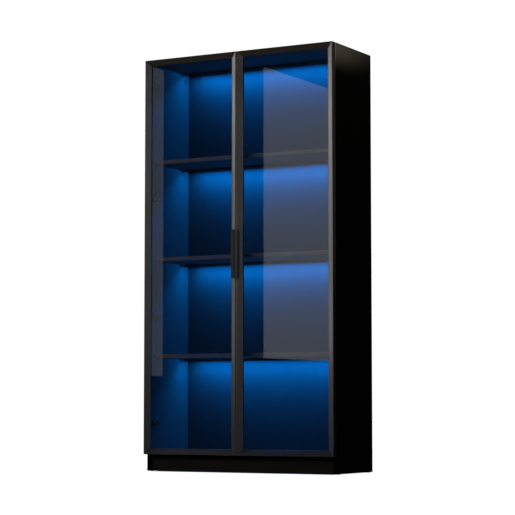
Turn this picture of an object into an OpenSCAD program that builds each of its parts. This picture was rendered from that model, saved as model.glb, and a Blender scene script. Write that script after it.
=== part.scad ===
// Tall display cabinet with two glass doors, a lit interior and an open plinth.
// Millimetres. +Z is up, the doors face -Y, and the origin is the middle of the footprint
// on the floor. Modules that end in _left draw the left-hand copy; the right is its mirror.

/* [Carcass] */
// Overall width, side panel to side panel
cabinet_w = 1000; // [900:10:1100]
// Overall height, floor to the top of the top panel
cabinet_h = 1950; // [1900:10:2050]
// Depth from the rear edge to the front of the closed doors
cabinet_d = 400; // [380:5:450]
// Thickness of the side, top, bottom and plinth boards
board_t = 16; // [16:1:18]
// Height of the plinth, floor to the underside of the bottom panel
plinth_h = 80; // [60:5:120]
// How far the plinth stands behind the front edges
plinth_recess = 18; // [10:1:40]
// Depth of the hollow behind the face of the back panel
back_recess = 20; // [20:1:24]
// Thickness of the back panel
back_t = 5; // [4:0.5:6]

/* [Shelves] */
// Thickness of a shelf
shelf_t = 18; // [16:1:25]
// Underside of the lower shelf above the floor
lower_shelf_z = 532; // [400:1:650]
// Underside of the middle shelf above the floor
middle_shelf_z = 992; // [800:1:1150]
// Underside of the upper shelf above the floor
upper_shelf_z = 1457; // [1300:1:1600]
// How far the shelves stand behind the front edges of the carcass
shelf_setback = 35; // [20:1:60]

/* [Doors] */
// Thickness of the door frame
door_t = 31; // [31:1:34]
// Gap between the back of a closed door and the carcass
door_gap = 4; // [4:0.5:5]
// Width of the frame members, seen from the front
frame_w = 28; // [28:1:36]
// Gap between the two doors
meeting_gap = 4; // [3:0.5:6]
// Step in from the outside of the carcass to the edge of a door
side_reveal = 1; // [0.5:0.5:2]
// Thickness of the glass
glass_t = 4; // [4:0.5:5]

/* [Handles] */
// Length of a handle
handle_l = 226; // [150:2:400]
// Width of the handle's front plate
handle_w = 14; // [14:1:24]
// How far the handle stands in front of the door frame
handle_proud = 20; // [14:1:30]
// Height of the middle of the handles above the floor
handle_z = 1005; // [800:1:1200]

/* [Hinges] */
// Hinge heights as shares of the door's height, from its lower edge
hinge_shares = [0.079, 0.349, 0.649, 0.936];
// Length of a hinge arm behind the carcass front
hinge_reach = 80; // [60:1:100]

/* [Lighting] */
// Distance from the middle of a light channel to the back panel
channel_offset = 60; // [40:1:90]
// Height of a light channel's front shield
channel_h = 12; // [7:0.5:14]
// Gap between a channel's end and the side panel
channel_end_gap = 16; // [12:1:45]

/* [Hidden] */
$fn = 48;
eps = 0.5;             // how far a cutter runs past the face it cuts
total_d = cabinet_d + handle_proud;
rear_y = total_d / 2;
door_front_y = rear_y - cabinet_d;
door_back_y = door_front_y + door_t;
front_y = door_back_y + door_gap;
half_w = cabinet_w / 2;
side_x = half_w - board_t;            // inner face of a side panel
top_z = cabinet_h - board_t;          // underside of the top panel
back_y = rear_y - back_recess;        // front face of the back panel
floor_in_z = plinth_h + board_t;      // top of the bottom panel
shelf_front_y = front_y + shelf_setback;
shelf_zs = [lower_shelf_z, middle_shelf_z, upper_shelf_z];
light_zs = concat(shelf_zs, [top_z]);

// back panel grooves
groove_depth = 5;
groove_slack = 0.2;

// rails behind and below
rear_rail_t = 13;
rear_rail_h = 90;
rail_notch = 3;                       // web left in front of the cuts in the rear top rail
rear_rail_y = back_y + back_t;
rear_plinth_y = back_y - 2.5 - board_t;
notch_half = 4;
front_plinth_y = front_y + plinth_recess;

// cam fittings and dowels
fit_slack = 0.1;
cam_r = 7.5;
cam_h = 12.5;
cam_reach = 34;
bolt_r = 2.5;
shank_r = 3;
thread_l = 11;
dowel_r = 4;
dowel_in = 10.5;                      // dowel length in the next board
dowel_out = 15.5;                     // dowel length in its own board
rail_cam_h = rear_rail_t - rail_notch;
cam_ys = [front_y + 51, back_y - 34];
dowel_ys = [front_y + 91, back_y - 74];
board_mid = board_t / 2;
rail_cam_z = plinth_h / 2 + 5;
top_rail_cam_z = top_z - rear_rail_h / 2;

// wood screws
wood_screw_r = 1.65;
wood_bore_r = 1.75;
wood_head_r = 3.4;
back_screw_r = 1.5;
back_screw_l = 13;
back_screw_xs = [-400 : 200 : 400];

// floor glides with their nails
glide_h = 2;
glide_r = 7;
nail_r = 2;
nail_l = 8;
glide_places = [for (x = [-half_w + board_mid, half_w - board_mid],
                     y = [front_y + 30, rear_y - 30]) [x, y],
                [0, front_plinth_y + board_mid], [0, rear_plinth_y + board_mid]];

// shelf pins, with their axis below the shelf
pin_r = 2.5;
pin_drop = 4;
pin_depth = 8;
pin_collar_r = 3.9;
pin_collar_t = 1.2;
pin_tongue = 9;
tongue_half = 5;
tongue_t = 2.2;
pin_ys = [shelf_front_y + 40, back_y - 40];

// light channels and their cable
channel_w = 15;
channel_wall = 1.5;
channel_front_y = back_y - channel_offset - channel_w / 2;
channel_x = side_x - channel_end_gap;
cable_r = 1.5;
cable_x = side_x - 52;
cable_y = rear_rail_y + 6.5;
cable_drop = 3;

// power supply in the rear hollow
driver_size = [200, 11, 50];
driver_pos = [-300, rear_rail_y + 0.5, 112];
inlet_pos = [-280, rear_rail_y + 6, 98];
harness_z = driver_pos[2] + 25;       // level of the cable from the supply
inlet_h = 14;
inlet_r = 5;
socket_r = 2.8;
socket_depth = 10;

// adhesive cable clips on the back of the back panel
clip_half = 5;
clip_wall = 1.5;
clip_mouth_half = 1.2;
clip_zs = [for (i = [0 : 3], share = [0.35, 0.7])
    let (from = i == 0 ? harness_z : light_zs[i - 1]) from + share * (light_zs[i] - from)];

// wall anchor plates on the rear rail
anchor_xs = [-300, 300];
anchor_z = top_z - 30;
anchor_size = [56, 2, 20];
anchor_bore_r = 3;
anchor_screw_dx = 20;
anchor_screw_l = 9;

// door outline, drawn for the left door
door_x0 = -half_w + side_reveal;
door_x1 = -meeting_gap / 2;
door_z0 = plinth_h;
door_h = cabinet_h - plinth_h;
door_w = door_x1 - door_x0;

// frame section: u runs in from the outer edge, v forwards from the back face
wall_t = 2;
flat_w = 4.5;
bevel_u = frame_w - 4;
bevel_v = door_t - 11;
lip_v = bevel_v - 3;
groove_v0 = lip_v - 8;
groove_u = frame_w - 6;
back_lip_t = 2;
inner_u = groove_u - wall_t;
bevel_slope = (door_t - bevel_v) / (bevel_u - flat_w);
wall_rise = wall_t * sqrt(1 + bevel_slope * bevel_slope);
roof_v = door_t - wall_rise;
glass_bite = frame_w - 5;
glass_v0 = groove_v0 + (lip_v - groove_v0 - glass_t) / 2;

// hinge axis and hinge sizes, measured from the axis
axis_u = 6;
axis_v = 10;
axis_x = door_x0 + axis_u;
axis_y = door_back_y - axis_v;
hinge_zs = [for (s = hinge_shares) door_z0 + s * door_h];
pivot_r = 1.5;
pivot_slack = 0.06;
barrel_r = 3.5;
barrel_half = 6.5;
blade_near = 12;
blade_far = 14.5;
web_half = 1.5;
arm_w = 9;
arm_half = 8;
pocket_u0 = axis_u - barrel_r - 0.3;
pocket_u1 = axis_u + blade_far + 0.5;
pocket_v = axis_v + barrel_r + 0.3;
pocket_half = 8;
cup_half = 20;
cup_v = lip_v;
flange_half = 32;
flange_t = 1;
cup_screw_dz = 26;
cup_screw_u = 11;
plate_half = 10;
wing_half = 24;
wing_t = 2;
wing_screw_dz = 17;
plate_screw_l = 11;
hinge_mid_y = front_y + 52;

// handle
handle_slope = 2.5;                   // a handle stands this much less proud at the meeting edge
handle_rim = 10;                      // depth of the part in front of the finger groove
finger_d = 5;                         // depth of the finger groove
thread_in = 10;                       // how far a screw enters the handle
thread_slack = 0.05;
screw_u = 5;
screw_dz = 90;
screw_r = 2;
screw_head_r = 3.5;

black_wood = "#1c1917";
black_metal = "#262524";
zinc = "#8f9193";
led_blue = "#2f8fff";

// ---------- helpers ----------

module mirrored() mirror([1, 0, 0]) children();

module both_sides() {
    children();
    mirrored() children();
}

// A box given by its two opposite corners
module span(low, high) translate(low) cube(high - low);

// A round rod from a point along +X, +Y or +Z
module rod_x(p, r, l) translate(p) rotate([0, 90, 0]) cylinder(r = r, h = l);
module rod_y(p, r, l) translate(p) rotate([-90, 0, 0]) cylinder(r = r, h = l);
module rod_z(p, r, l) translate(p) cylinder(r = r, h = l);

// ---------- cam fittings ----------

// Cam lock: its slotted face is at z = h and the bolt enters from -X
module cam_lock(h, bolt_depth) difference() {
    cylinder(r = cam_r, h = h);
    rod_x([-cam_r - eps, 0, h - bolt_depth], shank_r + fit_slack, cam_r + eps);
    span([-4.5, -0.8, h - 1.5], [4.5, 0.8, h + eps]);
}

module cam_bore(h) cylinder(r = cam_r + fit_slack, h = h + eps);

// Cam bolt: thread in the next board at x < 0, plain shank up to the cam at x > 0
module cam_bolt(slack = 0) {
    rod_x([-thread_l, 0, 0], bolt_r + slack, thread_l);
    rod_x([0, 0, 0], shank_r + slack, cam_reach);
}

module dowel(slack = 0) rod_x([-dowel_in, 0, 0], dowel_r + slack, dowel_in + dowel_out);

// Places its children at each left-hand cam: children(0) is the cam, drawn for its own board
module at_cams_left() {
    for (y = cam_ys) {
        translate([-side_x - cam_h, y, top_z - cam_reach]) rotate([0, 90, 0]) children(0);
        translate([-side_x + cam_reach, y, plinth_h + cam_h]) rotate([180, 0, 0]) children(0);
    }
    translate([-side_x + cam_reach, front_plinth_y + board_t - cam_h, rail_cam_z])
        rotate([-90, 0, 0]) children(0);
    translate([-side_x + cam_reach, rear_plinth_y + cam_h, rail_cam_z])
        rotate([90, 0, 0]) children(0);
}

module at_rail_cam_left() {
    translate([-side_x + cam_reach, rear_rail_y + rail_notch, top_rail_cam_z])
        rotate([-90, 0, 0]) children(0);
}

// Places its child at each left-hand bolt, with +X towards the cam
module at_bolts_left() {
    for (y = cam_ys) {
        translate([-half_w + board_mid, y, top_z]) rotate([0, 90, 0]) children(0);
        translate([-side_x, y, plinth_h + board_mid]) children(0);
    }
    translate([-side_x, front_plinth_y + board_mid, rail_cam_z]) children(0);
    translate([-side_x, rear_plinth_y + board_mid, rail_cam_z]) children(0);
    translate([-side_x, rear_rail_y + rear_rail_t / 2, top_rail_cam_z]) children(0);
}

module at_dowels_left() {
    for (y = dowel_ys) {
        translate([-half_w + board_mid, y, top_z]) rotate([0, 90, 0]) children(0);
        translate([-side_x, y, plinth_h + board_mid]) children(0);
    }
}

// Every hole that the fittings need, for both sides
module fitting_bores() both_sides() {
    at_cams_left() cam_bore(cam_h);
    at_rail_cam_left() cam_bore(rail_cam_h);
    at_bolts_left() cam_bolt(fit_slack);
    at_dowels_left() dowel(fit_slack);
}

module cam_locks() color(zinc) both_sides() {
    at_cams_left() cam_lock(cam_h, board_mid);
    at_rail_cam_left() cam_lock(rail_cam_h, rear_rail_t / 2);
}

module cam_bolts() color(zinc) both_sides() at_bolts_left() cam_bolt();

module dowels() color("burlywood") both_sides() at_dowels_left() dowel();

// ---------- carcass boards ----------

module shelf_pin_bores_left() for (z = shelf_zs, y = pin_ys)
    rod_x([-side_x - pin_depth, y, z - pin_drop], pin_r + fit_slack, pin_depth + eps);

module plate_screw_bores_left() for (z = hinge_zs, s = [-1, 1])
    rod_x([-side_x - plate_screw_l - eps, hinge_mid_y, z + s * wing_screw_dz],
          wood_bore_r, plate_screw_l + 2 * eps);

module glide_bores() for (p = glide_places)
    rod_z([p[0], p[1], glide_h - eps], nail_r + fit_slack, nail_l + eps);

module side_panel_left() difference() {
    span([-half_w, front_y, glide_h], [-side_x, rear_y, top_z]);
    span([-side_x - groove_depth, back_y - groove_slack, plinth_h - groove_slack],
         [-side_x + eps, back_y + back_t + groove_slack, top_z + eps]);
    fitting_bores();
    shelf_pin_bores_left();
    plate_screw_bores_left();
    glide_bores();
}

module left_side_panel() color(black_wood) side_panel_left();

module right_side_panel() color(black_wood) mirrored() side_panel_left();

module top_panel() color(black_wood) difference() {
    span([-half_w, front_y, top_z], [half_w, rear_y, cabinet_h]);
    span([-side_x - groove_depth, back_y - groove_slack, top_z - eps],
         [side_x + groove_depth, back_y + back_t + groove_slack, top_z + groove_depth]);
    fitting_bores();
}

module bottom_panel() color(black_wood) difference() {
    span([-side_x, front_y, plinth_h], [side_x, back_y - groove_slack, floor_in_z]);
    fitting_bores();
    back_screw_rods(fit_slack);
}

module back_panel() color(black_wood) difference() {
    span([-side_x - groove_depth + groove_slack, back_y, plinth_h],
         [side_x + groove_depth - groove_slack, back_y + back_t, top_z + groove_depth - 0.5]);
    back_screw_rods(fit_slack);
    for (z = light_zs)
        rod_y([-cable_x, back_y - eps, z - cable_drop], cable_r + 0.5, back_t + 2 * eps);
}

module plinth_board() color(black_wood) difference() {
    span([-side_x, front_plinth_y, glide_h], [side_x, front_plinth_y + board_t, plinth_h]);
    fitting_bores();
    glide_bores();
}

module rear_plinth_rail() color(black_wood) difference() {
    span([-side_x, rear_plinth_y, glide_h], [side_x, rear_plinth_y + board_t, plinth_h]);
    fitting_bores();
    glide_bores();
}

// The cable runs up a notch in the back of the rail and over its top edge
module rear_top_rail() color(black_wood) difference() {
    span([-side_x, rear_rail_y, top_z - rear_rail_h],
         [side_x, rear_rail_y + rear_rail_t, top_z]);
    fitting_bores();
    span([-cable_x - notch_half, rear_rail_y + rail_notch, top_z - rear_rail_h - eps],
         [-cable_x + notch_half, rear_rail_y + rear_rail_t + eps, top_z + eps]);
    span([-cable_x - notch_half, rear_rail_y - eps, top_z - 3 * cable_drop],
         [-cable_x + notch_half, rear_rail_y + rail_notch + eps, top_z + eps]);
    for (x = anchor_xs) {
        rod_y([x, rear_rail_y + rail_notch, anchor_z], anchor_bore_r + 1.5, rear_rail_t);
        for (s = [-1, 1])
            rod_y([x + s * anchor_screw_dx, rear_rail_y + rail_notch, anchor_z],
                  wood_bore_r, rear_rail_t);
    }
}

module shelf(z) color(black_wood)
    span([-side_x + 1.5, shelf_front_y, z], [side_x - 1.5, back_y - 0.5, z + shelf_t]);

module lower_shelf() shelf(lower_shelf_z);

module middle_shelf() shelf(middle_shelf_z);

module upper_shelf() shelf(upper_shelf_z);

// Pin in the side panel, collar against it, and a flat tongue under the shelf
module shelf_pin() {
    rod_x([-side_x - pin_depth + 0.2, 0, -pin_drop], pin_r, pin_depth + pin_tongue - 1);
    rod_x([-side_x, 0, -pin_drop], pin_collar_r, pin_collar_t);
    span([-side_x + pin_collar_t / 2, -tongue_half, -tongue_t],
         [-side_x + pin_tongue, tongue_half, 0]);
}

module shelf_pins() color(zinc) both_sides()
    for (z = shelf_zs, y = pin_ys) translate([0, y, z]) shelf_pin();

module back_screw_rods(slack) for (x = back_screw_xs)
    rod_y([x, back_y - back_screw_l - eps, plinth_h + board_mid],
          back_screw_r + slack, back_screw_l + back_t + 2 * eps);

module back_panel_screws() color(zinc) for (x = back_screw_xs) {
    rod_y([x, back_y - back_screw_l, plinth_h + board_mid],
          back_screw_r, back_screw_l + back_t + 0.2);
    rod_y([x, back_y + back_t, plinth_h + board_mid], wood_head_r, 1.2);
}

// Nail-on plastic glides under the side panels and the plinth
module floor_glides() color("dimgray") for (p = glide_places) {
    rod_z([p[0], p[1], 0], glide_r, glide_h);
    rod_z([p[0], p[1], glide_h - 0.1], nail_r, nail_l);
}

// Steel plates for the screws or straps that hold the cabinet to a wall
module wall_anchor_plates() color(zinc) for (x = anchor_xs)
    translate([x, rear_rail_y + rear_rail_t, anchor_z]) difference() {
        span([-anchor_size[0] / 2, 0, -anchor_size[2] / 2],
             [anchor_size[0] / 2, anchor_size[1], anchor_size[2] / 2]);
        rod_y([0, -eps, 0], anchor_bore_r, anchor_size[1] + 2 * eps);
        for (s = [-1, 1]) rod_y([s * anchor_screw_dx, -eps, 0], 2.1, 4);
        for (s = [-1, 1]) rod_y([s * anchor_screw_dx, 0.9, 0], 3.6, 4);
    }

module wall_anchor_screws() color(zinc) for (x = anchor_xs, s = [-1, 1])
    translate([x + s * anchor_screw_dx, rear_rail_y + rear_rail_t, anchor_z]) {
        rod_y([0, -anchor_screw_l, 0], wood_screw_r, anchor_screw_l + 1);
        rod_y([0, 0.95, 0], wood_head_r, 1);
    }

// Soft buttons that the closed doors rest against
module door_bumpers() color("gray") for (x = [-40, 40], z = [plinth_h + 8, cabinet_h - 8])
    rod_y([x, front_y - door_gap + 0.4, z], 4, door_gap - 0.4);

// ---------- lighting ----------

// Channel section under a shelf: shield in front, base above, short lip behind
module channel_section() polygon([
    [0, 0], [channel_w, 0], [channel_w, -5], [channel_w - channel_wall, -5],
    [channel_w - channel_wall, -channel_wall], [channel_wall, -channel_wall],
    [channel_wall, -channel_h], [0, -channel_h]
]);

module at_lights() for (z = light_zs) translate([0, channel_front_y, z]) children();

module led_channels() color(black_metal) at_lights() difference() {
    translate([-channel_x, 0, 0]) rotate([90, 0, 90])
        linear_extrude(2 * channel_x) channel_section();
    rod_y([-cable_x, channel_w - channel_wall - eps, -cable_drop],
          cable_r + 0.2, channel_wall + 2 * eps);
}

module led_strips() color("gold") at_lights()
    span([-channel_x + 6, 3, -channel_wall - 0.8], [channel_x - 6, 12, -channel_wall]);

module led_diffusers() color(led_blue) at_lights()
    span([-channel_x + 1, channel_wall, -4.6],
         [channel_x - 1, channel_w - channel_wall, -3.4]);

module led_end_caps() color(black_metal) at_lights() both_sides()
    span([-channel_x - 1.5, 0, -channel_h], [-channel_x, channel_w, 0]);

module led_driver() color("black") difference() {
    translate(driver_pos) cube(driver_size);
    rod_x([driver_pos[0] - 1, cable_y, driver_pos[2] + 25], cable_r + 0.2, 6);
}

module power_inlet() color("dimgray") difference() {
    rod_z(inlet_pos, inlet_r, inlet_h);
    rod_z(inlet_pos - [0, 0, eps], socket_r, socket_depth + eps);
}

// Low-voltage cable from the supply up the rear hollow, with a branch to each channel
module led_harness() color("black") {
    branch_y = channel_front_y + channel_w - channel_wall;
    rod_x([-cable_x, cable_y, harness_z], cable_r, driver_pos[0] + cable_x + 4);
    translate([-cable_x, cable_y, harness_z]) sphere(r = cable_r);
    rod_z([-cable_x, cable_y, harness_z], cable_r, top_z - cable_drop - harness_z);
    translate([-cable_x, cable_y, top_z - cable_drop]) sphere(r = cable_r);
    for (z = light_zs)
        rod_y([-cable_x, branch_y, z - cable_drop], cable_r, cable_y - branch_y);
}

// Saddle round a cable that runs along Z, with a snap-in mouth at the rear
module cable_clip() difference() {
    span([-clip_half, rear_rail_y - cable_y, -clip_half],
         [clip_half, cable_r + clip_wall, clip_half]);
    rod_z([0, 0, -clip_half - eps], cable_r + fit_slack, 2 * (clip_half + eps));
    span([-clip_mouth_half, 0, -clip_half - eps],
         [clip_mouth_half, cable_r + clip_wall + eps, clip_half + eps]);
}

module cable_clips() color("black") {
    for (z = clip_zs) translate([-cable_x, cable_y, z]) cable_clip();
    translate([(driver_pos[0] - cable_x) / 2, cable_y, harness_z]) rotate([0, 90, 0]) cable_clip();
}

// ---------- hinges on the carcass ----------

module at_hinges() for (z = hinge_zs) translate([axis_x, axis_y, z]) children();

// Arm, measured from the hinge axis: barrel, web across, blade back, and a thick tail
module hinge_arm() {
    front = front_y - axis_y;
    difference() {
        union() {
            rod_z([0, 0, -barrel_half], barrel_r, 2 * barrel_half);
            span([0, -web_half, -barrel_half], [blade_far, web_half, barrel_half]);
            span([blade_near, -web_half, -barrel_half],
                 [blade_far, front + hinge_reach, barrel_half]);
            span([blade_near, front + 6, -arm_half],
                 [blade_near + arm_w, front + hinge_reach, arm_half]);
        }
        rod_z([0, 0, -barrel_half - eps], pivot_r + pivot_slack, 2 * barrel_half + 2 * eps);
    }
}

// Plate under the arm, with a wing above and below for its screws
module hinge_plate() {
    face = -side_x - axis_x;
    front = front_y - axis_y;
    wing_y = hinge_mid_y - axis_y;
    difference() {
        union() {
            span([face, front + 18, -plate_half],
                 [blade_near, front + hinge_reach + 4, plate_half]);
            span([face, wing_y - 8, -wing_half], [face + wing_t, wing_y + 8, wing_half]);
        }
        for (s = [-1, 1])
            rod_x([face - eps, wing_y, s * wing_screw_dz], 1.9, 3);
    }
}

module left_hinge_plates() color(zinc) at_hinges() hinge_plate();

module right_hinge_plates() color(zinc) mirrored() at_hinges() hinge_plate();

module left_hinge_arms() color(zinc) at_hinges() hinge_arm();

module right_hinge_arms() color(zinc) mirrored() at_hinges() hinge_arm();

module hinge_plate_screws() color(zinc) both_sides() for (z = hinge_zs, s = [-1, 1])
    translate([-side_x, hinge_mid_y, z + s * wing_screw_dz]) {
        rod_x([-plate_screw_l, 0, 0], wood_screw_r, plate_screw_l + wing_t + 0.2);
        rod_x([wing_t, 0, 0], wood_head_r, 1.5);
    }

// ---------- door frame ----------

module frame_outline() polygon([
    [0, 0], [0, -door_t], [flat_w, -door_t], [bevel_u, -bevel_v], [frame_w, -bevel_v],
    [frame_w, -lip_v], [groove_u, -lip_v], [groove_u, -groove_v0], [frame_w, -groove_v0],
    [frame_w, -groove_v0 + back_lip_t], [groove_u, -groove_v0 + back_lip_t], [groove_u, 0]
]);

module frame_cavity() polygon([
    [wall_t, -wall_t], [wall_t, -door_t + wall_t],
    [flat_w - (wall_rise - wall_t) / bevel_slope, -door_t + wall_t],
    [inner_u, -roof_v + bevel_slope * (inner_u - flat_w)], [inner_u, -wall_t]
]);

// One frame member along +Z, outer edge at x = 0, mitred at both ends
module member(l) intersection() {
    linear_extrude(l) difference() {
        frame_outline();
        frame_cavity();
    }
    translate([0, eps, 0]) rotate([90, 0, 0]) linear_extrude(door_t + 2 * eps)
        polygon([[0, 0], [0, l], [frame_w, l - frame_w], [frame_w, frame_w]]);
}

// Lays a +Z member along +X, with its outer edge down
module laid() mirror([1, 0, -1]) children();

module hinge_stile_left() difference() {
    translate([door_x0, door_back_y, door_z0]) member(door_h);
    for (z = hinge_zs) translate([door_x0, door_back_y, z]) {
        span([wall_t, -wall_t - eps, -cup_half], [inner_u, eps, cup_half]);
        span([pocket_u0, -pocket_v, -pocket_half], [pocket_u1, eps, pocket_half]);
        for (s = [-1, 1])
            rod_y([cup_screw_u, -wall_t - eps, s * cup_screw_dz], 1.6, 3);
    }
}

// Puts its children on the axes of the left handle's two screws
module at_handle_screws() for (s = [-1, 1])
    translate([door_x1 - screw_u, 0, handle_z + s * screw_dz]) children();

module meeting_stile_left() difference() {
    translate([door_x1, door_back_y, door_z0]) mirror([1, 0, 0]) member(door_h);
    at_handle_screws() {
        rod_y([0, door_front_y - eps, 0], screw_r + fit_slack, door_t + 2 * eps);
        rod_y([0, door_back_y - wall_t - eps, 0], screw_head_r + fit_slack, 4);
    }
}

module bottom_rail_left()
    translate([door_x0, door_back_y, door_z0]) laid() member(door_w);

module top_rail_left()
    translate([door_x0, door_back_y, door_z0 + door_h]) mirror([0, 0, 1]) laid() member(door_w);

// L-shaped keys inside the mitred corners
module corner_key() {
    a = wall_t + 0.15;
    b = inner_u - 0.15;
    v = bevel_v - 3.5;
    span([a, -v, a], [b, -a, 60]);
    span([a, -v, a], [60, -a, b]);
}

module corner_keys_left() for (top = [0, 1], side = [0, 1])
    translate([side == 0 ? door_x0 : door_x1, door_back_y, top == 0 ? door_z0 : cabinet_h])
        mirror([side, 0, 0]) mirror([0, 0, top]) corner_key();

// Everything between insets a and b of the door outline, between depths v0 and v1
module pane(inset, v0, v1)
    span([door_x0 + inset, door_back_y - v1, door_z0 + inset],
         [door_x1 - inset, door_back_y - v0, door_z0 + door_h - inset]);

module glass_left() pane(glass_bite, glass_v0, glass_v0 + glass_t);

module gasket_left() difference() {
    pane(groove_u, groove_v0, lip_v);
    pane(frame_w - 0.4, groove_v0 - eps, lip_v + eps);
    glass_left();
}

// Edge pull: a bar along the meeting edge with a finger groove in its outer side
module handle_outline() {
    front = -door_t - handle_proud;
    polygon([
        [0, -bevel_v], [0, front + handle_slope], [handle_w, front],
        [handle_w, front + handle_rim], [handle_w - finger_d, front + handle_rim],
        [handle_w - finger_d, -door_t], [handle_w, -door_t], [handle_w, -bevel_v]
    ]);
}

module handle_left() difference() {
    translate([door_x1, door_back_y, handle_z - handle_l / 2]) mirror([1, 0, 0])
        linear_extrude(handle_l) handle_outline();
    translate([door_x1, door_back_y, door_z0]) mirror([1, 0, 0])
        linear_extrude(door_h) frame_outline();
    at_handle_screws()
        rod_y([0, door_front_y - thread_in - fit_slack, 0], screw_r + thread_slack, 2 * thread_in);
}

module handle_screws_left() at_handle_screws() {
    rod_y([0, door_front_y - thread_in, 0], screw_r, door_t + thread_in - 0.5);
    rod_y([0, door_back_y - 1.9, 0], screw_head_r, 1.8);
}

// Cup in the back of the stile, with ears above and below the pocket for the pin
module hinge_cup() difference() {
    union() {
        span([wall_t, -cup_v, -cup_half], [inner_u, 0, cup_half]);
        span([wall_t + 1, 0, -flange_half], [inner_u - 1, flange_t, flange_half]);
    }
    span([pocket_u0, -pocket_v, -pocket_half], [inner_u + eps, flange_t + eps, pocket_half]);
    rod_z([axis_u, -axis_v, -cup_half - eps], pivot_r + 0.02, 2 * cup_half + 2 * eps);
    for (s = [-1, 1]) rod_y([cup_screw_u, -eps, s * cup_screw_dz], 1.6, 3);
}

module hinge_cups_left() for (z = hinge_zs) translate([door_x0, door_back_y, z]) hinge_cup();

module cup_screws_left() for (z = hinge_zs, s = [-1, 1])
    translate([door_x0 + cup_screw_u, door_back_y, z + s * cup_screw_dz]) {
        rod_y([0, -7, 0], 1.5, 7.5 + flange_t);
        rod_y([0, flange_t, 0], 2.8, 1.1);
    }

module hinge_pins_left() at_hinges() rod_z([0, 0, -15], pivot_r, 30);

module left_door_hinge_stile() color(black_metal) hinge_stile_left();
module left_door_meeting_stile() color(black_metal) meeting_stile_left();
module left_door_top_rail() color(black_metal) top_rail_left();
module left_door_bottom_rail() color(black_metal) bottom_rail_left();
module left_door_corner_keys() color(zinc) corner_keys_left();
module left_door_glass() color([0.6, 0.7, 0.75, 0.3]) glass_left();
module left_door_gasket() color("black") gasket_left();
module left_door_handle() color(black_metal) handle_left();
module left_door_handle_screws() color(zinc) handle_screws_left();
module left_door_hinge_cups() color(zinc) hinge_cups_left();
module left_door_cup_screws() color(zinc) cup_screws_left();
module left_door_hinge_pins() color(zinc) hinge_pins_left();

module right_door_hinge_stile() color(black_metal) mirrored() hinge_stile_left();
module right_door_meeting_stile() color(black_metal) mirrored() meeting_stile_left();
module right_door_top_rail() color(black_metal) mirrored() top_rail_left();
module right_door_bottom_rail() color(black_metal) mirrored() bottom_rail_left();
module right_door_corner_keys() color(zinc) mirrored() corner_keys_left();
module right_door_glass() color([0.6, 0.7, 0.75, 0.3]) mirrored() glass_left();
module right_door_gasket() color("black") mirrored() gasket_left();
module right_door_handle() color(black_metal) mirrored() handle_left();
module right_door_handle_screws() color(zinc) mirrored() handle_screws_left();
module right_door_hinge_cups() color(zinc) mirrored() hinge_cups_left();
module right_door_cup_screws() color(zinc) mirrored() cup_screws_left();
module right_door_hinge_pins() color(zinc) mirrored() hinge_pins_left();

// ---------- output ----------

left_side_panel();
right_side_panel();
top_panel();
bottom_panel();
back_panel();
plinth_board();
rear_plinth_rail();
rear_top_rail();
lower_shelf();
middle_shelf();
upper_shelf();
shelf_pins();
cam_locks();
cam_bolts();
dowels();
back_panel_screws();
floor_glides();
wall_anchor_plates();
wall_anchor_screws();
door_bumpers();
led_channels();
led_strips();
led_diffusers();
led_end_caps();
led_driver();
power_inlet();
led_harness();
cable_clips();
left_hinge_plates();
right_hinge_plates();
left_hinge_arms();
right_hinge_arms();
hinge_plate_screws();
left_door_hinge_stile();
left_door_meeting_stile();
left_door_top_rail();
left_door_bottom_rail();
left_door_corner_keys();
left_door_glass();
left_door_gasket();
left_door_handle();
left_door_handle_screws();
left_door_hinge_cups();
left_door_cup_screws();
left_door_hinge_pins();
right_door_hinge_stile();
right_door_meeting_stile();
right_door_top_rail();
right_door_bottom_rail();
right_door_corner_keys();
right_door_glass();
right_door_gasket();
right_door_handle();
right_door_handle_screws();
right_door_hinge_cups();
right_door_cup_screws();
right_door_hinge_pins();
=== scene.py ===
"""Looks of the tall display cabinet: laminate boards, anodised door frames, glass and blue strip lights."""

import math

import bmesh
import bpy
from mathutils import Matrix, Vector


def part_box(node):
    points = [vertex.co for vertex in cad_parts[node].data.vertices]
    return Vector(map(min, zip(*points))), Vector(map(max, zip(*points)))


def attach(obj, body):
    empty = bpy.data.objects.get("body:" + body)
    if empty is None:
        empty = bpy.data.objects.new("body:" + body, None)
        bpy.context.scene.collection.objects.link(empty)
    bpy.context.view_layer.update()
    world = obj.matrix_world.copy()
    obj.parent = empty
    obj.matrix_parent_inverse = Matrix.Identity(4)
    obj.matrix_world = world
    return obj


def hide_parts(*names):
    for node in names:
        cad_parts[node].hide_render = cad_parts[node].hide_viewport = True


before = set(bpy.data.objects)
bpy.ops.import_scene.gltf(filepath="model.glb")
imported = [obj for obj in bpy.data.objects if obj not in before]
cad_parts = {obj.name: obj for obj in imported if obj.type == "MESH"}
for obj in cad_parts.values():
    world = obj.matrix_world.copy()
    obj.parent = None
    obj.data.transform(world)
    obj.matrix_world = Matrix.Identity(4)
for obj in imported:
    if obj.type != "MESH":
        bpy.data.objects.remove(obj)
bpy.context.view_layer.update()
MM = 0.001
SIDES = ("left", "right")
X, Y, Z = 0, 1, 2

# ---------- node helpers ----------


def shader(name):
    """A new material, its node tree and its Principled node."""
    mat = bpy.data.materials.new(name)
    mat.use_nodes = True
    tree = mat.node_tree
    return mat, tree, tree.nodes["Principled BSDF"]


def node(tree, kind, inputs=None, **settings):
    """A node of that kind. inputs holds numbers, colours or outputs of other nodes."""
    made = tree.nodes.new(kind)
    for key, value in settings.items():
        setattr(made, key, value)
    for key, value in (inputs or {}).items():
        if isinstance(value, bpy.types.NodeSocket):
            tree.links.new(value, made.inputs[key])
        else:
            made.inputs[key].default_value = value
    return made


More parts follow.
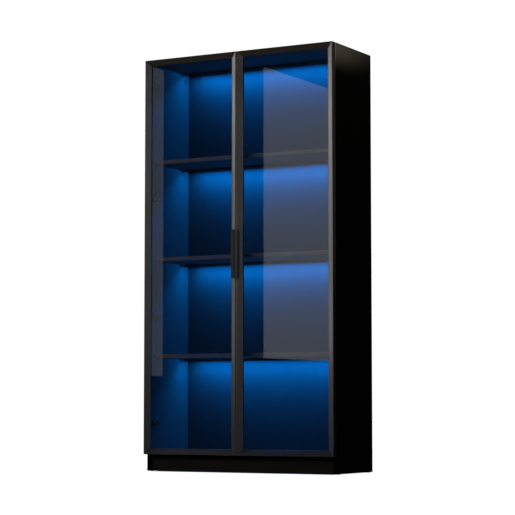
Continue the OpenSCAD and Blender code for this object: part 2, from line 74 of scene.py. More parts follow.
def ramp(tree, fac, *stops):
    """A colour ramp through (position, grey or colour) stops."""
    made = node(tree, "ShaderNodeValToRGB", {"Fac": fac})
    elements = made.color_ramp.elements
    while len(elements) < len(stops):
        elements.new(0.5)
    for element, (position, colour) in zip(elements, stops):
        element.position = position
        element.color = (colour,) * 3 + (1,) if isinstance(colour, float) else (*colour, 1)
    return made.outputs["Color"]


def streaks(tree, scales, detail=4.0, distortion=0.0):
    """Noise stretched by scales, in cycles per metre along X, Y and Z of the row frame."""
    coords = node(tree, "ShaderNodeTexCoord").outputs["Object"]
    mapped = node(tree, "ShaderNodeMapping", {"Vector": coords, "Scale": scales})
    noise = node(
        tree,
        "ShaderNodeTexNoise",
        {"Vector": mapped.outputs["Vector"], "Scale": 1.0, "Detail": detail, "Distortion": distortion},
    )
    return noise.outputs["Fac"]


def bump(tree, height, strength, distance):
    made = node(
        tree, "ShaderNodeBump", {"Height": height, "Strength": strength, "Distance": distance}
    )
    return made.outputs["Normal"]


def along(axis, length_scale, cross_scale):
    """Scales for streaks that run along an axis."""
    return tuple(length_scale if i == axis else cross_scale for i in range(3))


def painted_edge_highlight(tree, colour, highlight_colour):
    """colour, lightened towards the second colour in broken patches along the convex outer edges, as a
    painted edge highlight.
    """
    # The painted edge highlight follows the convex edges that inside AO finds.
    inside = node(
        tree, "ShaderNodeAmbientOcclusion", {"Distance": 1.5 * MM}, samples=4, inside=True
    ).outputs["AO"]
    patches = streaks(tree, (35.0, 35.0, 35.0), detail=6.0)
    edge = node(
        tree,
        "ShaderNodeMapRange",
        {"Value": inside, "From Min": 0.85, "From Max": 0.45, "To Min": 0.0, "To Max": 1.0},
    ).outputs[0]
    broken = node(
        tree,
        "ShaderNodeMapRange",
        {"Value": patches, "From Min": 0.42, "From Max": 0.62, "To Min": 0.1, "To Max": 0.8},
    ).outputs[0]
    amount = node(tree, "ShaderNodeMath", {0: edge, 1: broken}, operation="MULTIPLY").outputs[0]
    mixed = node(
        tree,
        "ShaderNodeMix",
        {"Factor": amount, "A": colour, "B": (*highlight_colour, 1)},
        data_type="RGBA",
    )
    return mixed.outputs["Result"]


# ---------- materials ----------


def laminate(grain, band_y=None):
    """Black wood-grain laminate, grained along one axis, with a paler edge band in front of band_y."""
    mat, tree, bsdf = shader("black_laminate_" + "xyz"[grain] + ("_banded" if band_y else ""))
    pores = streaks(tree, along(grain, 9.0, 420.0), detail=6.0, distortion=0.4)
    figure = streaks(tree, along(grain, 1.3, 34.0), detail=3.0, distortion=1.6)
    tone = node(tree, "ShaderNodeMix", {"Factor": 0.45, 2: pores, 3: figure}).outputs[0]
    colour = ramp(
        tree,
        tone,
        (0.30, (0.0170, 0.0150, 0.0132)),
        (0.50, (0.0205, 0.0180, 0.0158)),
        (0.72, (0.0245, 0.0212, 0.0184)),
    )
    if band_y:
        coords = node(tree, "ShaderNodeTexCoord").outputs["Object"]
        depth = node(tree, "ShaderNodeSeparateXYZ", {"Vector": coords}).outputs["Y"]
        in_band = node(tree, "ShaderNodeMath", {0: depth, 1: band_y}, operation="LESS_THAN")
        band = ramp(tree, tone, (0.35, (0.062, 0.052, 0.045)), (0.65, (0.088, 0.074, 0.064)))
        colour = node(
            tree,
            "ShaderNodeMix",
            {"Factor": in_band.outputs[0], "A": colour, "B": band},
            data_type="RGBA",
        ).outputs["Result"]
    # The paler convex edges of the boards are a painted edge highlight.
    tree.links.new(painted_edge_highlight(tree, colour, (0.050, 0.044, 0.038)), bsdf.inputs["Base Color"])
    tree.links.new(ramp(tree, pores, (0.3, 0.72), (0.7, 0.58)), bsdf.inputs["Roughness"])
    tree.links.new(bump(tree, pores, 0.2, 0.0002), bsdf.inputs["Normal"])
    bsdf.inputs["Specular IOR Level"].default_value = 0.12
    return mat


def anodised(grain):
    """Satin black anodised aluminium, brushed along one axis."""
    mat, tree, bsdf = shader("black_anodised_" + "xyz"[grain])
    lines = streaks(tree, along(grain, 3.0, 1600.0), detail=3.0)
    patches = streaks(tree, (7.0, 7.0, 7.0), detail=5.0)
    colour = ramp(tree, lines, (0.3, (0.070, 0.068, 0.066)), (0.7, (0.100, 0.097, 0.094)))
    # The paler convex edges of the frames are a painted edge highlight.
    tree.links.new(painted_edge_highlight(tree, colour, (0.17, 0.165, 0.16)), bsdf.inputs["Base Color"])
    rough = node(tree, "ShaderNodeMix", {"Factor": 0.5, 2: lines, 3: patches})
    tree.links.new(ramp(tree, rough.outputs[0], (0.3, 0.30), (0.7, 0.40)), bsdf.inputs["Roughness"])
    tree.links.new(bump(tree, lines, 0.10, 0.00005), bsdf.inputs["Normal"])
    bsdf.inputs["Metallic"].default_value = 0.8
    return mat


def painted():
    """Satin black powder coat with a faint orange peel."""
    mat, tree, bsdf = shader("black_powder_coat")
    peel = streaks(tree, (700.0, 700.0, 700.0), detail=2.0)
    cloud = streaks(tree, (14.0, 14.0, 14.0), detail=4.0)
    tree.links.new(
        ramp(tree, cloud, (0.3, (0.040, 0.038, 0.036)), (0.7, (0.050, 0.047, 0.044))),
        bsdf.inputs["Base Color"],
    )
    tree.links.new(ramp(tree, cloud, (0.3, 0.40), (0.7, 0.48)), bsdf.inputs["Roughness"])
    tree.links.new(bump(tree, peel, 0.15, 0.0001), bsdf.inputs["Normal"])
    return mat


def plated(name, dark, light, roughness):
    """Nickel- or zinc-plated steel with a faint mottle."""
    mat, tree, bsdf = shader(name)
    mottle = streaks(tree, (240.0, 240.0, 240.0), detail=6.0)
    tree.links.new(ramp(tree, mottle, (0.35, dark), (0.65, light)), bsdf.inputs["Base Color"])
    tree.links.new(
        ramp(tree, mottle, (0.3, roughness - 0.05), (0.7, roughness + 0.07)),
        bsdf.inputs["Roughness"],
    )
    tree.links.new(bump(tree, mottle, 0.08, 0.0001), bsdf.inputs["Normal"])
    bsdf.inputs["Metallic"].default_value = 1.0
    return mat


def moulded(name, dark, light, roughness, grain_scale=900.0):
    """Moulded plastic or rubber with a fine spark-eroded texture."""
    mat, tree, bsdf = shader(name)
    grain = streaks(tree, (grain_scale,) * 3, detail=3.0)
    cloud = streaks(tree, (30.0, 30.0, 30.0), detail=4.0)
    tree.links.new(ramp(tree, cloud, (0.35, dark), (0.65, light)), bsdf.inputs["Base Color"])
    tree.links.new(
        ramp(tree, grain, (0.3, roughness - 0.06), (0.7, roughness + 0.08)),
        bsdf.inputs["Roughness"],
    )
    tree.links.new(bump(tree, grain, 0.2, 0.0001), bsdf.inputs["Normal"])
    return mat


def clear_glass():
    """Clear float glass with faint haze."""
    mat, tree, bsdf = shader("clear_glass")
    haze = streaks(tree, (5.0, 5.0, 2.0), detail=5.0, distortion=0.5)
    tree.links.new(ramp(tree, haze, (0.45, 0.0), (0.8, 0.02)), bsdf.inputs["Roughness"])
    bsdf.inputs["Base Color"].default_value = (0.96, 0.985, 0.98, 1)
    bsdf.inputs["Transmission Weight"].default_value = 1.0
    bsdf.inputs["IOR"].default_value = 1.5
    return mat


def beech():
    mat, tree, bsdf = shader("bare_beech")
    fibre = streaks(tree, (60.0, 700.0, 700.0), detail=5.0)
    tree.links.new(
        ramp(tree, fibre, (0.35, (0.50, 0.33, 0.18)), (0.7, (0.66, 0.47, 0.28))),
        bsdf.inputs["Base Color"],
    )
    tree.links.new(bump(tree, fibre, 0.3, 0.0002), bsdf.inputs["Normal"])
    bsdf.inputs["Roughness"].default_value = 0.7
    return mat


LAMP_PITCH = 1 / 60


def lit_diffuser():
    """Frosted diffuser, lit blue from inside by a row of lamps."""
    mat, tree, bsdf = shader("lit_diffuser")
    coords = node(tree, "ShaderNodeTexCoord").outputs["Object"]
    x = node(tree, "ShaderNodeSeparateXYZ", {"Vector": coords}).outputs["X"]
    phase = node(
        tree, "ShaderNodeMath", {0: x, 1: 2 * math.pi / LAMP_PITCH}, operation="MULTIPLY"
    ).outputs[0]
    wave = node(tree, "ShaderNodeMath", {0: phase}, operation="COSINE").outputs[0]
    tree.links.new(
        ramp(tree, wave, (0.0, (0.0, 0.20, 0.80)), (1.0, (0.02, 0.32, 1.0))),
        bsdf.inputs["Emission Color"],
    )
    bsdf.inputs["Base Color"].default_value = (0.55, 0.6, 0.7, 1)
    bsdf.inputs["Roughness"].default_value = 0.6
    bsdf.inputs["Emission Strength"].default_value = 1.5
    return mat


LAMINATE = {axis: laminate(axis) for axis in (X, Y, Z)}
ANODISED = {axis: anodised(axis) for axis in (X, Z)}
BANDED = laminate(X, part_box("lower_shelf")[0].y + MM)
POWDER_COAT = painted()
NICKEL = plated("black_nickel", (0.042, 0.040, 0.038), (0.066, 0.063, 0.060), 0.36)
ZINC = plated("zinc_plate", (0.46, 0.47, 0.48), (0.60, 0.61, 0.62), 0.38)
BLACK_PLASTIC = moulded("black_plastic", (0.010, 0.010, 0.010), (0.018, 0.018, 0.018), 0.55)
SEAL = moulded("glazing_rubber", (0.006, 0.006, 0.006), (0.012, 0.012, 0.012), 0.62)
BUMPER = moulded("soft_bumper", (0.30, 0.30, 0.30), (0.38, 0.38, 0.38), 0.5)
SHEATH = moulded("cable_sheath", (0.007, 0.007, 0.007), (0.014, 0.014, 0.014), 0.48)
STRIP = moulded("circuit_strip", (0.62, 0.60, 0.50), (0.74, 0.72, 0.62), 0.5)
CHIP = moulded("light_chip", (0.66, 0.50, 0.10), (0.78, 0.62, 0.16), 0.35)
GLASS = clear_glass()
BEECH = beech()
DIFFUSER = lit_diffuser()

# ---------- mesh helpers ----------


def refine(name, material, width, segments=2):
    """Keeps a CAD node's shape, rounds its sharp edges by width and gives it a material."""
    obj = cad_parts[name]
    obj.data.materials.clear()
    obj.data.materials.append(material)
    weld = obj.modifiers.new("weld", "WELD")
    weld.merge_threshold = 0.00001
    flat = obj.modifiers.new("flat", "DECIMATE")
    flat.decimate_type = "DISSOLVE"
    flat.angle_limit = math.radians(0.5)
    edge = obj.modifiers.new("edge", "BEVEL")
    edge.width = width
    edge.segments = segments
    edge.limit_method = "ANGLE"
    edge.angle_limit = math.radians(30)
    for polygon in obj.data.polygons:
        polygon.use_smooth = True
    normals = obj.modifiers.new("normals", "WEIGHTED_NORMAL")
    normals.weight = 100
    return obj


def solids(name):
    """The separate solids of a CAD node, each as its lowest corner, highest corner and corners."""
    bm = bmesh.new()
    bm.from_mesh(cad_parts[name].data)
    bmesh.ops.remove_doubles(bm, verts=bm.verts, dist=0.01 * MM)
    done = set()
    found = []
    for start in bm.verts:
        if start in done:
            continue
        done.add(start)
        reached = [start]
        for vert in reached:
            linked = [edge.other_vert(vert) for edge in vert.link_edges]
            fresh = [other for other in linked if other not in done]
            done.update(fresh)
            reached.extend(fresh)
        corners = [vert.co.copy() for vert in reached]
        low = Vector([min(corner[i] for corner in corners) for i in (X, Y, Z)])
        high = Vector([max(corner[i] for corner in corners) for i in (X, Y, Z)])
        found.append((low, high, corners))
    bm.free()
    return found


STAND_INS = {}


def new_piece(name, bm, material, body, replaced=()):
    """Turns bm into a piece that rides on body and stands for the replaced nodes."""
    bmesh.ops.remove_doubles(bm, verts=bm.verts, dist=0.001 * MM)
    bmesh.ops.recalc_face_normals(bm, faces=bm.faces)
    mesh = bpy.data.meshes.new(name)
    bm.to_mesh(mesh)
    bm.free()
    mesh.materials.append(material)
    for polygon in mesh.polygons:
        polygon.use_smooth = True
    mesh.set_sharp_from_angle(angle=math.radians(35))
    obj = bpy.data.objects.new(name, mesh)
    bpy.context.scene.collection.objects.link(obj)
    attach(obj, body)
    if replaced:
        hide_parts(*replaced)
    for node_name in replaced:
        STAND_INS[node_name] = obj
    return obj


def block(bm, low, high, rounding, segments=2):
    """A box between two corners with rounded edges."""
    middle = (low + high) / 2
    size = high - low
    placement = Matrix.Translation(middle) @ Matrix.Diagonal((*size, 1))
    made = bmesh.ops.create_cube(bm, size=1, matrix=placement)
    edges = {edge for vert in made["verts"] for edge in vert.link_edges}
    bmesh.ops.bevel(
        bm, geom=list(edges), offset=rounding, segments=segments, profile=0.5, affect="EDGES"
    )


def ring_stack(bm, rings, angles, placement):
    """A closed skin through rings of (radius at each angle, height) about +Z."""
    loops = []
    for radii, height in rings:
        points = [
            Vector((radius * math.cos(angle), radius * math.sin(angle), height))
            for angle, radius in zip(angles, radii)
        ]
        loops.append([bm.verts.new(placement @ point) for point in points])
    for below, above in zip(loops, loops[1:]):
        for i in range(len(angles)):
            j = (i + 1) % len(angles)
            bm.faces.new((below[i], below[j], above[j], above[i]))
    bm.faces.new(list(reversed(loops[0])))
    bm.faces.new(loops[-1])


def cross_outline(arm, half_width):
    """Angles and radii of a cross about the centre, whose arms are that long and wide."""
    corner = math.atan2(half_width, arm)
    quarter = (0.0, corner, math.pi / 4, math.pi / 2 - corner)
    reach = (arm, math.hypot(arm, half_width), half_width * math.sqrt(2), math.hypot(arm, half_width))
    angles = [turn * math.pi / 2 + angle for turn in range(4) for angle in quarter]
    return angles, list(reach) * 4


def towards(direction, origin):
    """Placement that turns +Z to direction and moves to origin."""
    return Matrix.Translation(origin) @ direction.to_track_quat("Z", "Y").to_matrix().to_4x4()


RINGS_PER_TURN = 3


def thread_rings(angles, radius, start, end):
    """Rings of a helical thread up to that radius."""
    pitch = 0.6 * radius
    root = 0.8 * radius
    count = max(2, round((end - start) / pitch * RINGS_PER_TURN))
    rings = []
    for k in range(count + 1):
        height = start + (end - start) * k / count
        radii = []
        for angle in angles:
            phase = (height / pitch - angle / (2 * math.pi)) % 1.0
            radii.append(root + (radius - root) * abs(2 * phase - 1))
        rings.append((radii, height))
    return rings


def screw(bm, low, high, corners):
    """A pan-head screw with a cross recess and a thread, as big as the CAD screw."""
    size = high - low
    axis = max((X, Y, Z), key=lambda i: size[i])
    middle = (low + high) / 2
    across = [i for i in (X, Y, Z) if i != axis]

    def radius_of(corner):
        return math.hypot(*[corner[i] - middle[i] for i in across])

    ends = {}
    for sign, level in ((-1, low[axis]), (1, high[axis])):
        ends[sign] = max(radius_of(c) for c in corners if abs(c[axis] - level) < 0.05 * MM)
    sign = max(ends, key=lambda key: ends[key])
    head_r = ends[sign]
    shank_r = ends[-sign]
    head_levels = [c[axis] for c in corners if radius_of(c) > head_r - 0.05 * MM]
    head_t = max(head_levels) - min(head_levels)
    length = size[axis]
    neck = length - head_t
    direction = Vector([sign if i == axis else 0 for i in (X, Y, Z)])
    tip = middle - direction * length / 2
    angles, outline = cross_outline(0.56 * head_r, 0.15 * head_r)

    def circle(radius):
        return [radius] * len(angles)

    rings = [(circle(0.35 * shank_r), 0.0)]
    rings += thread_rings(angles, shank_r, 0.8 * shank_r, neck)
    rings += [
        (circle(0.94 * head_r), neck),
        (circle(head_r), neck + 0.15 * head_t),
        (circle(head_r), neck + 0.45 * head_t),
        (circle(0.93 * head_r), neck + 0.75 * head_t),
        (circle(0.78 * head_r), neck + 0.94 * head_t),
        (circle(0.66 * head_r), length),
        (outline, length),
        ([0.75 * radius for radius in outline], length - 0.6 * head_t),
        (circle(0.08 * head_r), length - 0.85 * head_t),
    ]
    ring_stack(bm, rings, angles, towards(direction, tip))


# ---------- pieces ----------

SHELVES = ("lower_shelf", "middle_shelf", "upper_shelf")
for name in ("top_panel", "bottom_panel", "plinth_board", "rear_plinth_rail", "rear_top_rail"):
    refine(name, LAMINATE[X], 0.7 * MM)
for name in SHELVES:
    refine(name, BANDED, 0.7 * MM)
for name in ("left_side_panel", "right_side_panel", "back_panel"):
    refine(name, LAMINATE[Z], 0.7 * MM)

for side in SIDES:
    door = side + "_door_"
    for part in ("hinge_stile", "meeting_stile"):
        refine(door + part, ANODISED[Z], 0.5 * MM, 3)
    refine(door + "handle", POWDER_COAT, 0.5 * MM, 3)
    for part in ("top_rail", "bottom_rail"):
        refine(door + part, ANODISED[X], 0.5 * MM, 3)
    refine(door + "corner_keys", ZINC, 0.4 * MM)
    glass = refine(door + "glass", GLASS, 0.5 * MM)
    glass.visible_shadow = False
    refine(door + "gasket", SEAL, 0.15 * MM)
    refine(door + "hinge_pins", ZINC, 0.2 * MM)
    refine(door + "hinge_cups", NICKEL, 0.3 * MM)
    refine(side + "_hinge_plates", NICKEL, 0.3 * MM)
    refine(side + "_hinge_arms", NICKEL, 0.5 * MM)

for name in ("shelf_pins", "cam_locks", "wall_anchor_plates"):
    refine(name, NICKEL, 0.3 * MM)
refine("cam_bolts", ZINC, 0.2 * MM)
for name in ("floor_glides", "led_end_caps", "power_inlet", "cable_clips"):
    refine(name, BLACK_PLASTIC, 0.3 * MM)
refine("dowels", BEECH, 0.4 * MM)
refine("door_bumpers", BUMPER, 0.6 * MM)
refine("led_channels", ANODISED[X], 0.25 * MM)
refine("led_diffusers", DIFFUSER, 0.2 * MM)
refine("led_harness", SHEATH, 0.1 * MM)


def screws(name, body):
    """Detailed screws in the places of a CAD node's screws."""
    bm = bmesh.new()
    for low, high, corners in solids(name):
        screw(bm, low, high, corners)
    new_piece(name + "_threaded", bm, ZINC, body, [name])


def chip_strips():
    """Flexible circuit strips with a row of light chips that face down."""
    tape_t = 0.3 * MM
    chip_l = 3.5 * MM
    chip_w = 2.8 * MM
    tapes = bmesh.new()
    chips = bmesh.new()
    for low, high, _ in solids("led_strips"):
        block(tapes, Vector((low.x, low.y, high.z - tape_t)), high, 0.05 * MM, 1)
        count = int((high.x - low.x) / LAMP_PITCH)
        start = (low.x + high.x - (count - 1) * LAMP_PITCH) / 2
        middle_y = (low.y + high.y) / 2
        for k in range(count):
            x = start + k * LAMP_PITCH
            near = Vector((x - chip_l / 2, middle_y - chip_w / 2, low.z))
            far = Vector((x + chip_l / 2, middle_y + chip_w / 2, high.z - tape_t + 0.05 * MM))
            block(chips, near, far, 0.12 * MM, 1)
    new_piece("circuit_tapes", tapes, STRIP, "carcass", ["led_strips"])
    new_piece("light_chips", chips, CHIP, "carcass", ["led_strips"])


def adjusters(side):
    """Two cross-recess adjusting screws in the inner face of each hinge arm."""
    inward = 1 if side == "left" else -1
    screw_r = 3.2 * MM
    proud = 0.5 * MM
    depth = 1.5 * MM
    angles, outline = cross_outline(0.6 * screw_r, 0.16 * screw_r)
    rings = [
        ([screw_r] * len(angles), 0),
        ([screw_r] * len(angles), depth - 0.25 * MM),
        ([0.92 * screw_r] * len(angles), depth),
        (outline, depth),
        ([0.8 * radius for radius in outline], depth - 0.9 * MM),
    ]
    bm = bmesh.new()
    for low, high, _ in solids(side + "_hinge_arms"):
        face_x = high.x if inward > 0 else low.x
        for share in (0.42, 0.80):
            place = Vector((
                face_x - inward * (depth - proud),
                low.y + share * (high.y - low.y),
                (low.z + high.z) / 2,
            ))
            ring_stack(bm, rings, angles, towards(Vector((inward, 0, 0)), place))
    new_piece(side + "_hinge_adjusters", bm, ZINC, "carcass")


def driver():
    """Ribbed plastic case of the light supply, as big as the CAD block."""
    low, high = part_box("led_driver")
    rib_h = 2 * MM
    rib_w = 3 * MM
    rib_count = 14
    margin = 16 * MM
    bm = bmesh.new()
    block(bm, low, Vector((high.x, high.y - rib_h, high.z)), 1.5 * MM, 3)
    spacing = (high.x - low.x - 2 * margin - rib_w) / (rib_count - 1)
    for k in range(rib_count):
        x = low.x + margin + k * spacing
        near = Vector((x, high.y - rib_h - MM, low.z + 6 * MM))
        far = Vector((x + rib_w, high.y, high.z - 6 * MM))
        block(bm, near, far, 0.6 * MM, 2)
    new_piece("light_supply_case", bm, BLACK_PLASTIC, "carcass", ["led_driver"])


def inlet_pin():
    """Centre pin of the power socket, which opens downwards."""
    low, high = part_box("power_inlet")
    middle = (low + high) / 2
    pin_r = 0.95 * MM
    depth = 10 * MM
    recess = 1.2 * MM
    sides = 20
    angles = [2 * math.pi * k / sides for k in range(sides)]
    dome = [(pin_r * math.sin(turn), pin_r * math.cos(turn)) for turn in (0.15, 0.6, 1.1, 1.57)]
    tip_z = low.z + recess
    rings = [([radius] * sides, tip_z + pin_r - rise) for radius, rise in dome]
    rings.append(([pin_r] * sides, low.z + depth + 0.5 * MM))
    bm = bmesh.new()
    ring_stack(bm, rings, angles, Matrix.Translation((middle.x, middle.y, 0)))
    new_piece("inlet_pin", bm, ZINC, "carcass")


for name in ("back_panel_screws", "wall_anchor_screws", "hinge_plate_screws"):
    screws(name, "carcass")
for side in SIDES:
    for part in ("handle_screws", "cup_screws"):
        screws(f"{side}_door_{part}", side + "_door")
    adjusters(side)
chip_strips()
driver()
inlet_pin()

# ---------- stage ----------


def make_floor():
    """A pale floor that glows white around the cabinet, with a painted faint shade close to it and a
    painted contact shadow underneath it.
    """
    bm = bmesh.new()
    bmesh.ops.create_grid(bm, x_segments=1, y_segments=1, size=30)
    mesh = bpy.data.meshes.new("floor")
    bm.to_mesh(mesh)
    bm.free()
    floor = bpy.data.objects.new("floor", mesh)
    bpy.context.scene.collection.objects.link(floor)
    mat, tree, bsdf = shader("pale_floor")
    bsdf.inputs["Base Color"].default_value = (0.9, 0.9, 0.9, 1)
    bsdf.inputs["Roughness"].default_value = 0.9
    bsdf.inputs["Emission Color"].default_value = (1, 1, 1, 1)
    coords = node(tree, "ShaderNodeTexCoord").outputs["Object"]
    reach = node(tree, "ShaderNodeVectorMath", {0: coords}, operation="LENGTH").outputs["Value"]
    # Emission a little lower near the cabinet: painted soft shade on the floor.
    glow = node(
        tree,
        "ShaderNodeMapRange",
        {"Value": reach, "From Min": 0.5, "From Max": 1.5, "To Min": 0.985, "To Max": 1.05},
    )
    low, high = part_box("bottom_panel")
    middle = (low + high) / 2
    half = (high - low) / 2
    offset = node(
        tree,
        "ShaderNodeVectorMath",
        {0: coords, 1: (middle.x, middle.y, 0)},
        operation="SUBTRACT",
    )
    scaled = node(
        tree,
        "ShaderNodeVectorMath",
        {0: offset.outputs[0], 1: (1 / half.x, 1 / half.y, 1)},
        operation="MULTIPLY",
    )
    away = node(tree, "ShaderNodeVectorMath", {0: scaled.outputs[0]}, operation="ABSOLUTE")
    parts = node(tree, "ShaderNodeSeparateXYZ", {"Vector": away.outputs[0]}).outputs
    beside = node(
        tree, "ShaderNodeMath", {0: parts["X"], 1: parts["Y"]}, operation="MAXIMUM"
    )
    # Emission nearly nil inside the cabinet's footprint: painted contact shadow under it.
    outside = node(
        tree,
        "ShaderNodeMapRange",
        {"Value": beside.outputs[0], "From Min": 0.98, "From Max": 1.0, "To Min": 0.01},
    )
    light = node(
        tree,
        "ShaderNodeMath",
        {0: glow.outputs[0], 1: outside.outputs[0]},
        operation="MULTIPLY",
    )
    tree.links.new(light.outputs[0], bsdf.inputs["Emission Strength"])
    floor.data.materials.append(mat)
    floor.visible_diffuse = False
    floor.visible_glossy = False
    floor.visible_transmission = False


AMBIENT = 0.01


def make_world():
    """White where it is seen, straight or through glass, and dim where it lights the cabinet."""
    world = bpy.data.worlds.new("studio")
    world.use_nodes = True
    bpy.context.scene.world = world
    tree = world.node_tree
    path = node(tree, "ShaderNodeLightPath").outputs
    bounces = node(
        tree, "ShaderNodeMath", {0: path["Glossy Depth"], 1: path["Diffuse Depth"]}, operation="ADD"
    )
    straight = node(tree, "ShaderNodeMath", {0: bounces.outputs[0], 1: 0.5}, operation="LESS_THAN")
    strength = node(
        tree,
        "ShaderNodeMapRange",
        {"Value": straight.outputs[0], "To Min": AMBIENT, "To Max": 1.02},
    )
    tree.links.new(strength.outputs[0], tree.nodes["Background"].inputs["Strength"])
    tree.nodes["Background"].inputs["Color"].default_value = (1, 1, 1, 1)


def softbox(name, place, target, size, brightness, colour=(1, 1, 1), only=None):
    """A rectangular lamp of that radiance at place, facing target. It lights only some nodes, if given."""
    lamp = bpy.data.lights.new(name, "AREA")
    lamp.shape = "RECTANGLE"
    lamp.size, lamp.size_y = size
    lamp.energy = brightness * math.pi * size[0] * size[1]
    lamp.color = colour
    obj = bpy.data.objects.new(name, lamp)
    bpy.context.scene.collection.objects.link(obj)
    obj.location = place
    direction = Vector(target) - Vector(place)
    obj.rotation_euler = direction.to_track_quat("-Z", "Y").to_euler()
    obj.visible_camera = False
    if only:
        light_only(obj, only)
    return obj


def light_only(lamp, names, state="INCLUDE"):
    """Makes the lamp light only the nodes with those names, or all but them if state is EXCLUDE."""
    group = bpy.data.collections.new(lamp.name + "_lights")
    for name in names:
        group.objects.link(STAND_INS.get(name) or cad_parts[name])
    for entry in group.collection_objects:
        entry.light_linking.link_state = state
    lamp.light_linking.receiver_collection = group


LED_COLOUR = (0.0, 0.225, 1.0)
LED_BRIGHTNESS = 570
BOUNCE_BRIGHTNESS = 6.0
LAMP_GAP = 0.4 * MM
END_MARGIN = 35 * MM
END_ENERGY = 8
END_X = 0.345
END_DROP = 14 * MM


def strip_lights():
    """Under each diffuser a lamp that faces down, and near its ends two that only light the side panels.

    The lamps spare the handles, which are outside the doors.
    """
    low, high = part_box("led_diffusers")
    size = (high.x - low.x - 2 * END_MARGIN, high.y - low.y)
    middle = (low + high) / 2
    for number, (lowest, _, _) in enumerate(solids("led_diffusers")):
        place = Vector((middle.x, middle.y, lowest.z - LAMP_GAP))
        below = place - Vector((0, 0, 1))
        lamp = softbox(f"strip_{number}", place, below, size, LED_BRIGHTNESS, LED_COLOUR)
        lamp.rotation_euler = (0, 0, 0)
        light_only(lamp, HANDLES, "EXCLUDE")
        for side, direction in zip(SIDES, (-1, 1)):
            glow = bpy.data.lights.new(f"{side}_glow_{number}", "POINT")
            glow.energy = END_ENERGY
            glow.color = LED_COLOUR
            glow.shadow_soft_size = 4 * MM
            obj = bpy.data.objects.new(glow.name, glow)
            bpy.context.scene.collection.objects.link(obj)
            obj.location = place + Vector((direction * END_X, 0, -END_DROP))
            obj.visible_glossy = False
            light_only(obj, [side + "_side_panel"])


def bounce_lights():
    """Light that the boards below throw up at the undersides of the shelves and the top."""
    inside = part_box("lower_shelf")
    size = (0.9 * (inside[1].x - inside[0].x), 0.8 * (inside[1].y - inside[0].y))
    middle_y = (inside[0].y + inside[1].y) / 2
    for name in ("bottom_panel", *SHELVES):
        place = (0, middle_y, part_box(name)[1].z + LAMP_GAP)
        above = (0, middle_y, place[2] + 1)
        lamp = softbox(
            "bounce_" + name, place, above, size, BOUNCE_BRIGHTNESS, LED_COLOUR,
            only=[*SHELVES, "top_panel"],
        )
        lamp.rotation_euler = (math.pi, 0, 0)
        lamp.visible_glossy = False


def corner_spot():
    """Narrow warm light on the top front corner of the right-hand side panel."""
    lamp = bpy.data.lights.new("corner_spot", "SPOT")
    lamp.energy = 140
    lamp.color = (1.0, 0.92, 0.82)
    lamp.spot_size = math.radians(16)
    lamp.spot_blend = 1.0
    lamp.shadow_soft_size = 0.05
    obj = bpy.data.objects.new("corner_spot", lamp)
    bpy.context.scene.collection.objects.link(obj)
    obj.location = (0.75, -0.8, 1.80)
    direction = Vector((0.5, -0.03, 1.96)) - obj.location
    obj.rotation_euler = direction.to_track_quat("-Z", "Y").to_euler()
    light_only(obj, ["right_side_panel", "top_panel"])


def make_camera():
    camera = bpy.data.cameras.new("camera")
    camera.lens = 128.67
    camera.sensor_width = 36
    obj = bpy.data.objects.new("camera", camera)
    bpy.context.scene.collection.objects.link(obj)
    obj.location = (4.1861, -7.5355, 0.3062)
    obj.rotation_euler = (math.radians(90 + 4.611), 0, math.radians(29.005))
    bpy.context.scene.camera = obj


DOOR_PARTS = ("hinge_stile", "meeting_stile", "top_rail", "bottom_rail", "handle")
HINGE_PARTS = ("hinge_plates", "hinge_arms", "door_hinge_cups", "door_cup_screws")
FRAMES = [f"{side}_door_{part}" for side in SIDES for part in DOOR_PARTS]
STILES = [f"{side}_door_{part}" for side in SIDES for part in DOOR_PARTS[:2]]
BOTTOM_RAILS = [side + "_door_bottom_rail" for side in SIDES]
HANDLES = [side + "_door_handle" for side in SIDES]
HINGES = [f"{side}_{part}" for side in SIDES for part in HINGE_PARTS]
OUTSIDE = [
    *FRAMES,
    "left_side_panel", "right_side_panel", "top_panel", "plinth_board", "rear_plinth_rail",
    "rear_top_rail", "back_panel", "wall_anchor_plates", "wall_anchor_screws",
    "back_panel_screws", "led_driver", "power_inlet", "led_harness", "cable_clips",
    "floor_glides",
]
WARM_WHITE = (1.0, 0.95, 0.88)
WARM = (1.0, 0.82, 0.64)
AMBER = (1.0, 0.75, 0.5)
FLOOR_WARM = (1.0, 0.68, 0.5)


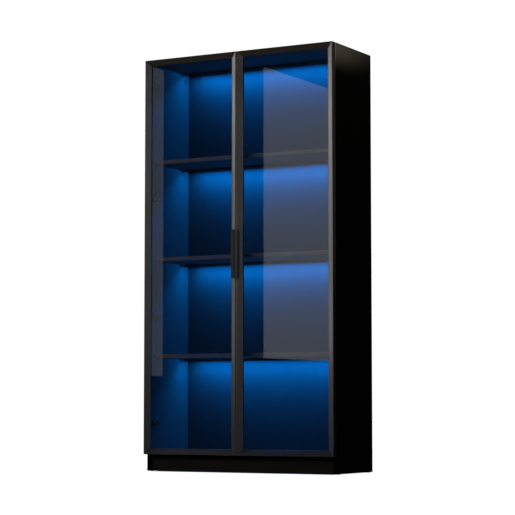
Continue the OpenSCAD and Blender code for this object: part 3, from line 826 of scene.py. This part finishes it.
def frame_lamps():
    """Cards that the bevels and flats of the door frames mirror."""
    softbox("left_high", (-3.0, -0.5, 2.6), (0, -0.25, 1.8), (0.9, 1.4), 5.5, only=FRAMES)
    softbox("left_low", (-3.0, -0.5, 1.2), (0, -0.25, 0.9), (0.9, 1.4), 2.0, only=FRAMES)
    softbox("front_card", (2.0, -5.0, 2.2), (0, -0.2, 1.2), (1.3, 2.2), 1.25, only=FRAMES)
    softbox("front_low", (2.9, -5.0, 0.6), (0, -0.2, 0.6), (1.0, 1.2), 0.5, only=STILES)
    softbox("sill_card", (-2.9, -5.0, 0.15), (-2.9, 0, 0.15), (1.2, 0.5), 3.0, only=BOTTOM_RAILS)
    softbox("flat_high", (-2.4, -5.0, 2.3), (-2.4, 0, 2.3), (2.0, 2.2), 1.9, only=STILES)
    softbox("flat_low", (-2.4, -5.0, 0.7), (-2.4, 0, 0.7), (2.0, 1.0), 1.9, only=STILES)
    softbox(
        "floor_card", (-1.3, -2.2, 0.05), (-1.3, -2.2, 1), (2.4, 1.2), 0.3, FLOOR_WARM, only=FRAMES
    )


def pane_cards():
    """Pale cards close in front of the doors, mirrored by the two panes."""
    softbox(
        "pane_card", (0.13, -0.5635, 1.197), (1.13, -0.5635, 1.197), (0.76, 1.346), 0.62,
        only=["right_door_glass", "right_door_hinge_stile"],
    )
    softbox(
        "left_pane_card", (-0.5, -0.2535, 1.19), (0.5, -0.2535, 1.19), (0.14, 1.483), 0.35,
        only=["left_door_glass"],
    )


def fill_lamps():
    """Light on the door edges and soft fills that no surface mirrors."""
    softbox(
        "edge_card", (1.9, 2.6, 2.2), (0.5, -0.18, 2.2), (1.2, 2.0), 0.12, AMBER, only=FRAMES
    )
    fill = softbox(
        "front_fill", (-1.5, -5.0, 2.2), (0, 0, 1.0), (2.6, 1.4), 6.2, WARM_WHITE,
        only=[*FRAMES, *HINGES, *SHELVES, "plinth_board", "top_panel"],
    )
    grip = softbox(
        "grip_card", (2.5, -1.5, 1.0), (0, -0.2, 1.0), (1.2, 1.2), 4.5, (1.0, 0.94, 0.88),
        only=HANDLES,
    )
    for lamp in (fill, grip):
        lamp.visible_glossy = False


def outside_lamps():
    """A faint glow on the right-hand side and a large soft lamp behind the cabinet."""
    softbox("side_glow", (1.6, 1.3, 2.7), (0.5, 0.0, 1.6), (0.6, 0.7), 0.45, WARM, only=OUTSIDE)
    rear = softbox("rear_left", (-2.5, 3.5, 2.4), (0, 0.2, 1.0), (2.4, 2.4), 26, only=OUTSIDE)
    rear.visible_glossy = False


make_camera()
make_floor()
make_world()
strip_lights()
bounce_lights()
corner_spot()
frame_lamps()
pane_cards()
fill_lamps()
outside_lamps()
bpy.context.scene.view_settings.view_transform = "Standard"
